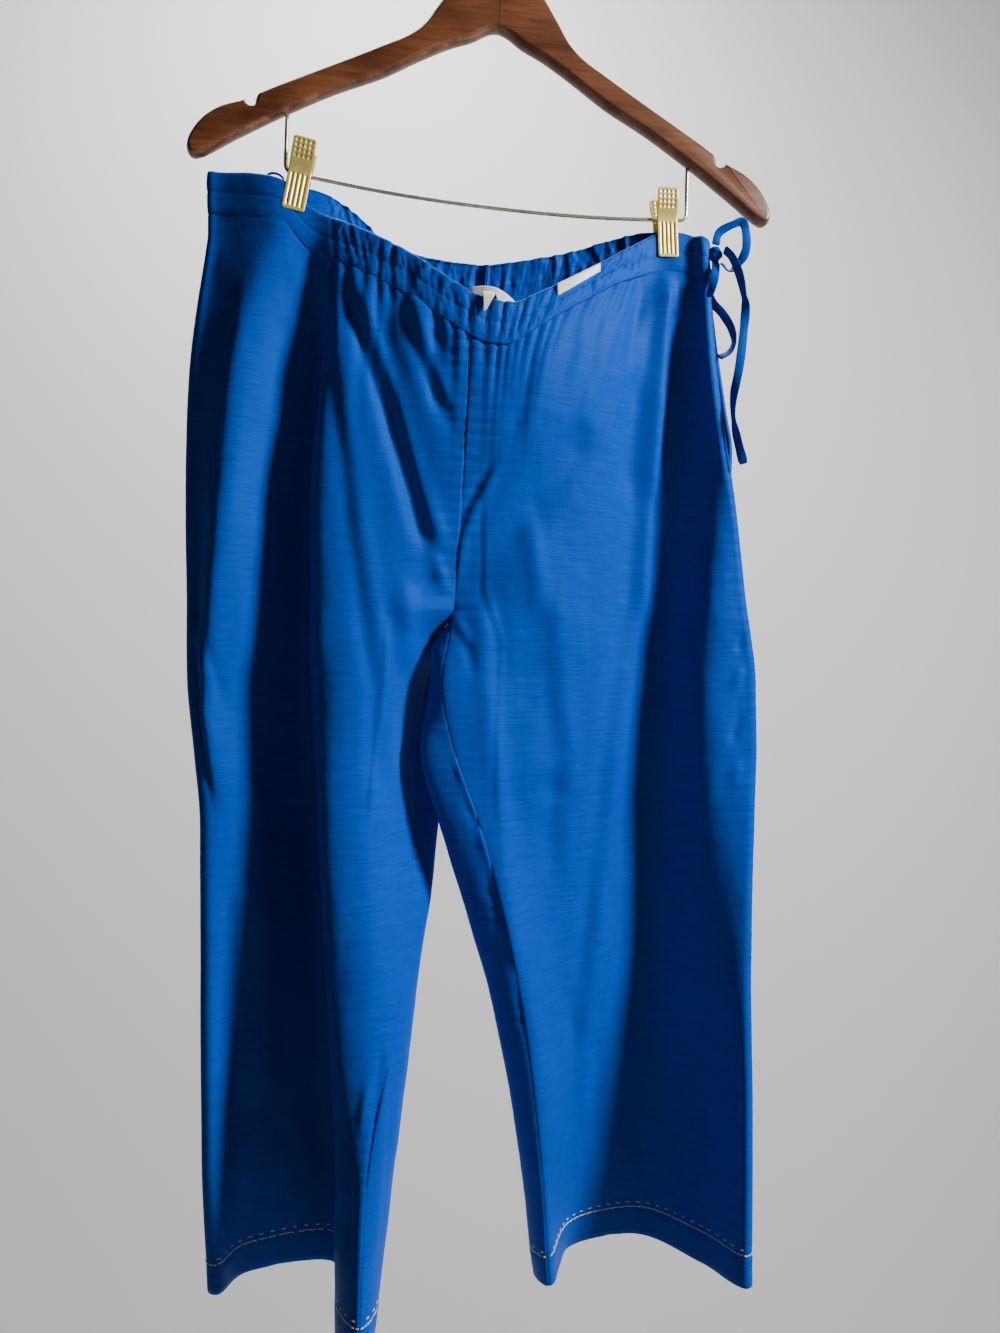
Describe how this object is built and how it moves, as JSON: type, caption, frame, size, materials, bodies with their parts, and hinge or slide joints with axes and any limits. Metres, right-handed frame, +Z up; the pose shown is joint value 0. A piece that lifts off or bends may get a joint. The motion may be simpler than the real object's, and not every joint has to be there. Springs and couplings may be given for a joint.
{
  "type": "palazzo pants on a clip hanger",
  "caption": "Wide-legged drawstring trousers in slubbed cloth with stitched hems, hung by the waist from a wooden hanger with two sprung clips.",
  "frame": {"origin": "inside top of the hanger's hook, where a rail or a peg carries it", "axes": "+Z up, -Y towards the front of the garment, +X towards the wearer's left"},
  "size_m": [0.4534, 0.1848, 1.0961],
  "materials": {
    "cloth": "silk and cotton, slubbed, soft sheen",
    "label": "satin tape",
    "wood": "glossy varnish, worn at the edges",
    "steel": "plain drawn wire",
    "brass": "bright plated sheet"
  },
  "bodies": {
    "root": {"front_right": "cloth", "front_left": "cloth", "back_right": "cloth", "back_left": "cloth", "casing_front_right": "cloth", "casing_front_left": "cloth", "casing_back_right": "cloth", "casing_back_left": "cloth", "string_knot": "cloth", "string_loop_upper": "cloth", "string_tail": "cloth", "string_loop_lower": "cloth", "string_short_end": "cloth", "brand_label": "label", "size_tab": "label", "care_label": "label", "hanging_loop": "cloth", "hanger_arm_right": "wood", "hanger_arm_left": "wood", "hanger_hook": "steel", "trouser_bar": "steel", "clip_right_front_jaw": "brass", "clip_right_back_jaw": "brass", "clip_right_spring": "steel", "clip_left_front_jaw": "brass", "clip_left_back_jaw": "brass", "clip_left_spring": "steel"}
  },
  "joints": []
}
